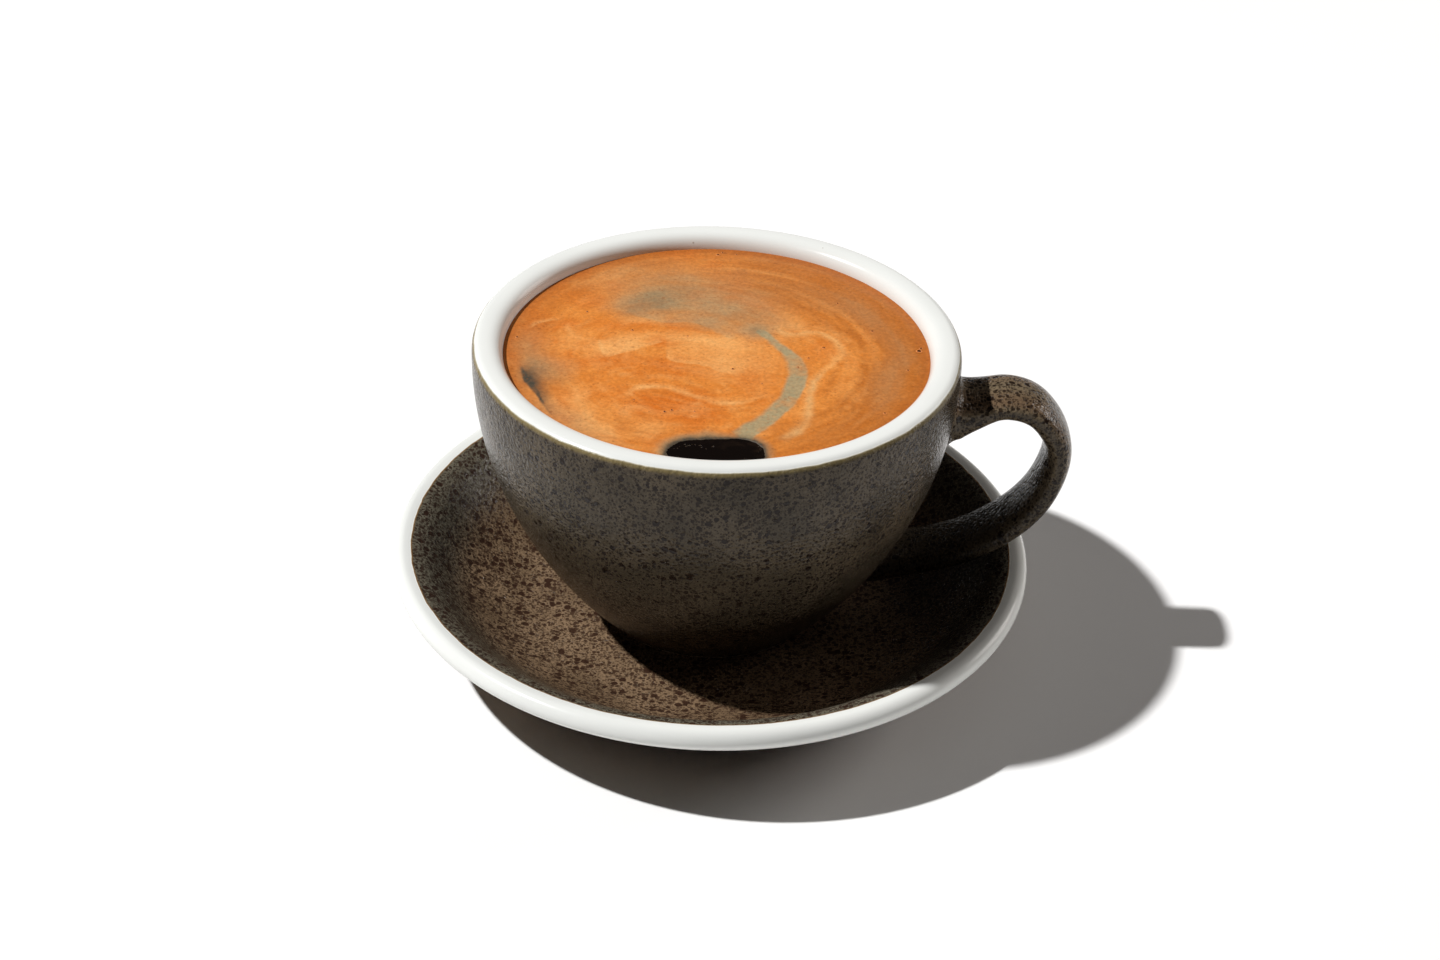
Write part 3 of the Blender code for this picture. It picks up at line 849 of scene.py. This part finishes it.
def swirls(x, y):
    """The values that colour the crema, for places on it."""
    wide_x = x + 1.7 * fractal(x, y, 11, 3) + 0.5 * fractal(x, y, 3.2, 9)
    wide_y = y + 1.7 * fractal(x, y, 11, 5) + 0.5 * fractal(x, y, 3.2, 11)
    near_x = x + 0.55 * fractal(x, y, 5, 13) + 0.2 * fractal(x, y, 1.4, 15)
    near_y = y + 0.55 * fractal(x, y, 5, 17) + 0.2 * fractal(x, y, 1.4, 19)
    radius = np.hypot(x, y)
    turn = np.degrees(np.arctan2(y, x))
    uneven = 0.78 + 0.45 * fractal(x, y, 4.5, 21)

    def patches(table):
        return sum(strength * blob(wide_x, wide_y, *shape) for strength, *shape in table)

    def strokes(table):
        return sum(strength * ribbon(line, near_x, near_y, *fades) * uneven for strength, line, *fades in table)

    def above(line, soft):
        """1 on the left of a line and 0 on its right."""
        gap, _, _, side = nearest(line, near_x, near_y)
        return smooth(-soft, soft, gap * side)

    # The foam's flow: streaks round two centres, a fine grain, and rings towards the wall.
    outer = streaks(x, y, (2, -1), 3.6, 29)
    inner = streaks(x, y, (-9, -25), 2.2, 31)
    fine = streaks(x, y, (4, -4), 0.9, 33, 5.0)
    ring = np.hypot(x - 1.5, y + 1.5) + 1.3 * fractal(x, y, 15, 53) + 0.5 * fractal(x, y, 6, 55)
    rings = 0.5 * np.sin(ring * 1.02) + 0.35 * np.sin(ring * 1.9 + 1.2) + 0.4 * fractal(x, y, 7, 57)
    right_side = smooth(12, 32, x + 0.25 * y)
    low_left = smooth(16, 2, x) * smooth(2, -12, y) * smooth(30, 18, np.hypot(x + 9, y + 25))
    outside = smooth(26, 32, radius) * (0.3 + 0.7 * smooth(8, 26, x + 0.3 * y)) * smooth(-46, -30, y)

    # The grey cloud, where the foam is thin, and the bay.
    wisps = 0.92 + 0.3 * streaks(x, y, (-6, -6), 2.4, 43) + 0.3 * fractal(wide_x, wide_y, 5.0, 47)
    cloud = patches(CLOUD_PATCHES) * smooth(5.0, 12.0, y + 0.25 * x + 1.2 * fractal(x, y, 6, 49))
    bay = bay_distance(near_x, near_y)
    left_of_bay = smooth(6, -4, x)

    brown = patches(BROWN_PATCHES) + strokes(BROWN_STROKES)
    brown += 0.54 * smooth(14, 46, x + 0.35 * y) + 0.25 * smooth(6, 34, y) * smooth(-20, 20, x)
    brown += 0.5 * outer * (0.35 + 0.65 * right_side) * smooth(14, 26, radius) + 0.16 * fine
    brown += 0.46 * np.clip(rings, -0.4, 1) * outside + 0.16 * smooth(30, 44, radius)
    brown += 0.4 * np.clip(-inner, 0, 1) * low_left
    at_wall = 0.45 * smooth(38, 49, radius) * smooth(-60, 10, y + abs(x))
    brown += at_wall * (1 - 0.7 * blob(x, y, (-20, -36), (22, 12), -30, 0.8))
    # Painted shadow: browner towards the left wall, centred on the key light's direction, where the lip's shadow
    # falls on the foam.
    brown += 0.35 * smooth(-32, -46, x) * smooth(24, 4, abs(y - 2))
    brown += 1.4 * cloud * np.clip(1.5 - wisps, 0, 1)
    brown += 0.3 * (1 - smooth(0.6, 3.4, bay))

    burnt = patches(BURNT_PATCHES)
    burnt += 0.35 * smooth(-0.2, 0.7, fractal(wide_x, wide_y, 8, 37)) * smooth(24, -6, x)

    pale = patches(PALE_PATCHES) + strokes(PALE_STROKES)
    pale += above(WEDGE, 0.5) * patches(ABOVE_WEDGE) + above(WAVE, 0.9) * patches(ABOVE_WAVE)
    pale += strokes(ARC_STROKE) * (0.85 + 0.3 * fractal(x, y, 2.4, 39))
    thin_streaks = np.clip(-outer - 0.1, 0, 1) * smooth(36, 24, y) * smooth(12, 24, radius)
    pale += 0.17 * thin_streaks * (0.4 + 0.6 * smooth(12, 26, x) * smooth(42, 32, x))
    pale += 0.2 * np.clip(inner, 0, 1) * low_left - 0.08 * fine
    pale += 0.16 * smooth(0.1, 0.8, fractal(wide_x + 40, wide_y, 9, 41)) * smooth(26, 0, x)

    along_band = nearest(BAND, x, y)[2]
    band_grain = 1 + 0.22 * streaks(x, y, (2, -12), 0.8, 45, 4.0)
    grey = patches(GREY_PATCHES) + strokes(GREY_STROKES)
    grey += strokes(BAND_STROKE) * (1.0 - 0.3 * smooth(0.55, 1.0, along_band)) * band_grain
    grey += cloud * wisps + 0.08 * np.clip(-rings, 0, 1) * outside
    grey += (0.4 + 0.25 * left_of_bay) * (1 - smooth(0.2, 2.6 + 1.4 * left_of_bay, bay))

    slate = patches(SLATE_PATCHES) + strokes(SLATE_STROKES) + patches(CLOUD_CORES) * wisps
    slate += 0.9 * (1 - smooth(-0.2, 1.1, bay)) * (0.8 + 0.3 * fractal(x, y, 1.6, 51))
    slate += (0.3 + 0.16 * left_of_bay) * (1 - smooth(0.4, 2.4, bay))

    rim = 0.5 * smooth(46.4, 49.6, radius + 0.7 * fractal(turn * 0.7, radius, 6, 61))
    values = {"brown": brown, "burnt": burnt, "pale": pale, "grey": grey, "slate": slate, "rim": rim}
    return {name: np.clip(value, 0, MOST[name]) for name, value in values.items()}


def make_crema():
    """The foam skin: a low relief on a fine polar grid, sunk under the coffee's surface in the bay."""
    rings, segments = 160, 640
    radii = CREMA_EDGE * (np.arange(1, rings + 1) / rings) ** 0.9
    turns = np.arange(segments) * 2 * math.pi / segments
    r = np.repeat(radii, segments)
    t = np.tile(turns, rings)
    x = np.concatenate([[0], r * np.cos(t)])
    y = np.concatenate([[0], r * np.sin(t)])
    radius = np.hypot(x, y)
    values = swirls(x, y)
    ragged = bay_distance(x, y) + 0.35 * fractal(x, y, 2.2, 71) + 0.12 * fractal(x, y, 0.9, 73)
    z = DRINK - 0.06 + 0.05 * fractal(x, y, 9, 75) + 0.02 * fractal(x, y, 1.6, 77)
    z += 0.04 * values["pale"] - 0.05 * values["grey"] - 0.04 * values["burnt"]
    z -= 0.22 * (1 - smooth(0.0, 1.8, ragged))
    z -= 1.3 * (1 - smooth(-1.4, -0.1, ragged))
    z += 0.16 * smooth(48.8, CREMA_EDGE, radius) * smooth(-0.2, 1.0, ragged)
    places = np.stack([x, y, z], 1).tolist()
    round_it = [(k, (k + 1) % segments) for k in range(segments)]
    faces = [(0, 1 + k, 1 + after) for k, after in round_it]
    for ring in range(rings - 1):
        a, b = 1 + ring * segments, 1 + (ring + 1) * segments
        faces += [(a + k, b + k, b + after, a + after) for k, after in round_it]
    last = 1 + (rings - 1) * segments
    under = DRINK - CREMA_THICKNESS
    start = len(places)
    places += [(CREMA_UNDER_EDGE * math.cos(t), CREMA_UNDER_EDGE * math.sin(t), under) for t in turns]
    faces += [(last + k, start + k, start + after, last + after) for k, after in round_it]
    places.append((0, 0, under))
    faces += [(start + k, len(places) - 1, start + after) for k, after in round_it]
    spare = [0.0] * (segments + 1)
    values = {key: list(value) + spare for key, value in values.items()}
    crema = make_object("crema_skin", places, faces, values, crema_material())
    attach(crema, "root")
    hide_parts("crema")


def make_coffee():
    """The liquid, with a surface that creeps up a little at the wall."""
    wall = [(radius - LIQUID_SIDE_GAP, z + LIQUID_FLOOR_GAP) for radius, z in cavity(60)[1:]]
    wall = [(radius, z) for radius, z in wall if z < COFFEE_TOP - 0.5]
    creep = ((0, 0), (48.4, 0), (49.2, 0.05), (49.6, 0.18), (49.7, 0.1))
    top = [(radius, COFFEE_TOP + lift) for radius, lift in creep]
    profile = [*resample(top, 2.0), *reversed(wall), (0, CAVITY_FLOOR + LIQUID_FLOOR_GAP)]
    coffee = make_object("coffee_body", *turned(profile, 192), None, coffee_material())
    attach(coffee, "root")
    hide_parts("coffee")


def make_cup(material):
    """Body and strap in one piece."""
    profile = resample(cup_profile(), 1.0)
    places, faces = turned(profile)
    line = run_along(profile, CUP_LINE)
    from_foot = [abs(z - CUP_FOOT - 0.35) + abs(radius - CUP_FOOT_RADIUS) for radius, z in profile]
    foot_start = int(np.argmin(from_foot))
    foot_inner = CUP_FOOT_RADIUS - CUP_FOOT_WIDTH - 0.2
    clay = [float(k >= foot_start and radius > foot_inner) for k, (radius, _) in enumerate(profile)]
    under = [-9.0 if k >= foot_start else value for k, value in enumerate(np.clip(line, -9, 9))]
    strap, strap_faces, rub = handle_mesh()
    shift = len(places)
    places = list(places) + strap.tolist()
    faces = faces + [tuple(k + shift for k in face) for face in strap_faces]
    count = len(strap)
    values = {
        "line": per_point(profile, under) + [9.0] * count,
        "clay": per_point(profile, clay) + [0.0] * count,
        "rub": [0.0] * shift + rub,
    }
    cup = make_object("cup_body", places, faces, values, material)
    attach(cup, "root")
    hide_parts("cup")


def make_saucer(material):
    """The dish, white over its rim between two glaze lines."""
    profile = resample(saucer_profile(), 1.2)
    crest = SAUCER_LIP + SAUCER_LIP_SECTION
    upper = profile[: math.ceil(len(profile) / 2)]
    band = max(k for k, (radius, z) in enumerate(upper) if 60 < radius <= BAND_RADIUS and z < crest)
    line = np.maximum(-run_along(profile, profile[band]), run_along(profile, UNDER_LINE))
    foot_inner, foot_outer = SAUCER_FOOT_RADIUS - SAUCER_FOOT_WIDTH - 0.2, SAUCER_FOOT_RADIUS + 0.1
    clay = [float(z < 0.45 and foot_inner < radius < foot_outer) for radius, z in profile]
    values = {
        "line": per_point(profile, list(np.clip(line, -9, 40))),
        "clay": per_point(profile, clay),
        "rub": per_point(profile, [0.0] * len(profile)),
    }
    saucer = make_object("saucer_dish", *turned(profile), values, material)
    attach(saucer, "root")
    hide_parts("saucer")


def dome(centre, radius, height, z, rows=5, around=14, hollow=False):
    """A small dome, or with hollow a little crater, standing at height z."""
    places, faces, depth = [], [], []
    for row in range(rows):
        share = 1 - row / rows
        if hollow:
            lift = height * math.sin(math.pi * share) if share > 0.55 else height * (share - 0.75)
        else:
            lift = height * math.cos(share * math.pi / 2)
        for k in range(around):
            turn = 2 * math.pi * k / around
            reach = radius * share * (1 + 0.08 * math.sin(3 * turn + centre[0]))
            places.append((centre[0] + reach * math.cos(turn), centre[1] + reach * math.sin(turn), z + lift))
            depth.append(1.0 if hollow and share < 0.7 else 0.0)
    places.append((centre[0], centre[1], z + (-0.75 * height if hollow else height)))
    depth.append(1.0 if hollow else 0.0)
    for row in range(rows - 1):
        for k in range(around):
            after = (k + 1) % around
            a, b = row * around, (row + 1) * around
            faces.append((a + k, a + after, b + after, b + k))
    last = (rows - 1) * around
    faces += [(last + k, last + (k + 1) % around, len(places) - 1) for k in range(around)]
    return places, faces, depth


def gather(parts):
    """Several meshes as one."""
    places, faces, depth = [], [], []
    for part_places, part_faces, part_depth in parts:
        shift = len(places)
        places += part_places
        faces += [tuple(k + shift for k in face) for face in part_faces]
        depth += part_depth
    return places, faces, depth


# Open pores in the crema: (x, y, radius) in millimetres.
PORES = (
    (-0.7, 47.0, 0.55),
    (0.4, 48.3, 0.3),
    (3.9, 47.5, 0.25),
    (36.7, 11.6, 0.45),
    (28.7, 24.5, 0.35),
    (25.0, 3.1, 0.5),
    (21.4, -2.0, 0.4),
    (44.4, -5.9, 0.35),
    (38.3, -25.1, 0.4),
    (-11.2, -27.6, 0.42),
    (-9.6, -26.9, 0.38),
    (3.8, -8.0, 0.36),
    (-7.0, 6.3, 0.26),
    (-20.2, 8.3, 0.3),
    (-31.4, 16.3, 0.3),
    (-47.0, 3.1, 0.4),
    (-4.5, -27.1, 0.22),
    (-18.3, -23.0, 0.22),
    (10.6, -14.0, 0.2),
    (18.9, -6.2, 0.26),
)
WALL_PORES = ((47.4, 3.0, 0.75), (47.9, 4.3, 0.45))
PORE_HEIGHT = 0.07


def make_pores():
    """Little craters in the foam. Those at the wall stand a little higher, as the foam does there."""
    parts = []
    for pores, level in ((PORES, DRINK - 0.03), (WALL_PORES, DRINK)):
        parts += [dome((x, y), radius, PORE_HEIGHT, level, 7, 16, True) for x, y, radius in pores]
    places, faces, depth = gather(parts)
    pores = make_object("crema_pores", places, faces, {"depth": depth}, pit_material())
    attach(pores, "root")


def make_bubbles():
    """Small bubbles on the bare coffee, in chains and along its shore."""
    draw = np.random.RandomState(5)
    parts = []
    chains = (
        ((-6.2, -41.0), (-3.4, -40.3), (-1.6, -41.6), (0.6, -40.6)),
        ((-8.0, -45.2), (-4.0, -46.5), (0.0, -46.8), (4.5, -46.4), (8.6, -44.9)),
        ((10.0, -42.4), (10.3, -40.6), (9.6, -38.8)),
        ((-9.2, -43.2), (-8.0, -41.8), (-5.6, -40.2)),
    )
    for chain in chains:
        for x, y in spline(chain, 5):
            if draw.uniform() < 0.55:
                x, y = x + draw.uniform(-0.3, 0.3), y + draw.uniform(-0.25, 0.25)
                radius = draw.uniform(0.1, 0.22)
                parts.append(dome((x, y), radius, 0.7 * radius, COFFEE_TOP + 0.005))
    places, faces, _ = gather(parts)
    bubbles = make_object("coffee_bubbles", places, faces, None, bubble_material())
    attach(bubbles, "root")


# Stage


def make_stage():
    mesh = bpy.data.meshes.new("floor")
    mesh.from_pydata([(-3, -3, 0), (3, -3, 0), (3, 3, 0), (-3, 3, 0)], [], [(0, 1, 2, 3)])
    floor = bpy.data.objects.new("floor", mesh)
    bpy.context.scene.collection.objects.link(floor)
    n = Nodes("floor_paper")
    n.set(Base_Color=(0.96, 0.955, 0.95), Roughness=0.9)
    n.set(Specular_IOR_Level=0.1)
    mesh.materials.append(n.material)


def make_light(name, towards, distance, size, power, colour=(1, 1, 1)):
    """A square soft light, facing the cup from a direction given as azimuth and elevation in degrees."""
    azimuth, elevation = (math.radians(a) for a in towards)
    level = math.cos(elevation)
    way = Vector((math.cos(azimuth) * level, math.sin(azimuth) * level, math.sin(elevation)))
    data = bpy.data.lights.new(name, "AREA")
    data.shape = "DISK"
    data.size = size
    data.energy = power
    data.color = colour
    lamp = bpy.data.objects.new(name, data)
    lamp.location = Vector((AXIS_X * MM, 0, 0.04)) + way * distance
    lamp.rotation_euler = way.to_track_quat("Z", "Y").to_euler()
    bpy.context.scene.collection.objects.link(lamp)


def make_lights():
    world = bpy.data.worlds.new("studio")
    world.use_nodes = True
    background = world.node_tree.nodes["Background"]
    background.inputs["Color"].default_value = (1, 1, 1, 1)
    background.inputs["Strength"].default_value = 0.02
    bpy.context.scene.world = world
    make_light("key", (181.6, 53.6), 3.0, 0.1, 110.0)
    make_light("side", (24, 20), 1.5, 0.7, 8.2, (1.0, 0.95, 0.91))


def make_camera():
    """The camera of the photograph: its lens, distance and angle come from the outlines of cup and saucer."""
    distance, elevation, roll = 592.4, math.radians(33.52), math.radians(2.0)
    aim = Vector((AXIS_X + 1.76, 0, 40.2)) * MM
    forward = Vector((0, math.cos(elevation), -math.sin(elevation)))
    side = Vector((1, 0, 0))
    up = side.cross(forward)
    right = side * math.cos(roll) + up * math.sin(roll)
    top = up * math.cos(roll) - side * math.sin(roll)
    data = bpy.data.cameras.new("camera")
    data.sensor_width = 36
    data.lens = 61.25
    data.clip_start = 0.01
    camera = bpy.data.objects.new("camera", data)
    turn = Matrix((right, top, -forward)).transposed().to_4x4()
    camera.matrix_world = Matrix.Translation(aim - forward * distance * MM) @ turn
    bpy.context.scene.collection.objects.link(camera)
    bpy.context.scene.camera = camera


def main():
    cup_glaze = glaze(
        "granite_glaze_cup",
        ground=linear(85, 74, 59),
        ground_two=linear(70, 61, 48),
        spot=linear(24, 12, 8),
        spot_share=0.12,
        line_width=1.5,
        line_colour=linear(124, 110, 76),
        slope=linear(85, 74, 59),
        slope_shade_reach=2.0,
    )
    dish_glaze = glaze(
        "granite_glaze_saucer",
        ground=linear(136, 112, 87),
        ground_two=linear(114, 93, 71),
        spot=linear(46, 26, 19),
        spot_share=0.2,
        line_width=0.6,
        line_colour=linear(128, 96, 58),
        # Painted shade: a darker, greyer colour over the saucer's sloping wall, where it turns from the key light.
        slope=linear(104, 98, 84),
        slope_shade_reach=21.0,
    )
    make_cup(cup_glaze)
    make_saucer(dish_glaze)
    make_coffee()
    make_crema()
    make_pores()
    make_bubbles()
    make_stage()
    make_lights()
    make_camera()
    bpy.context.scene.view_settings.view_transform = "Standard"


main()
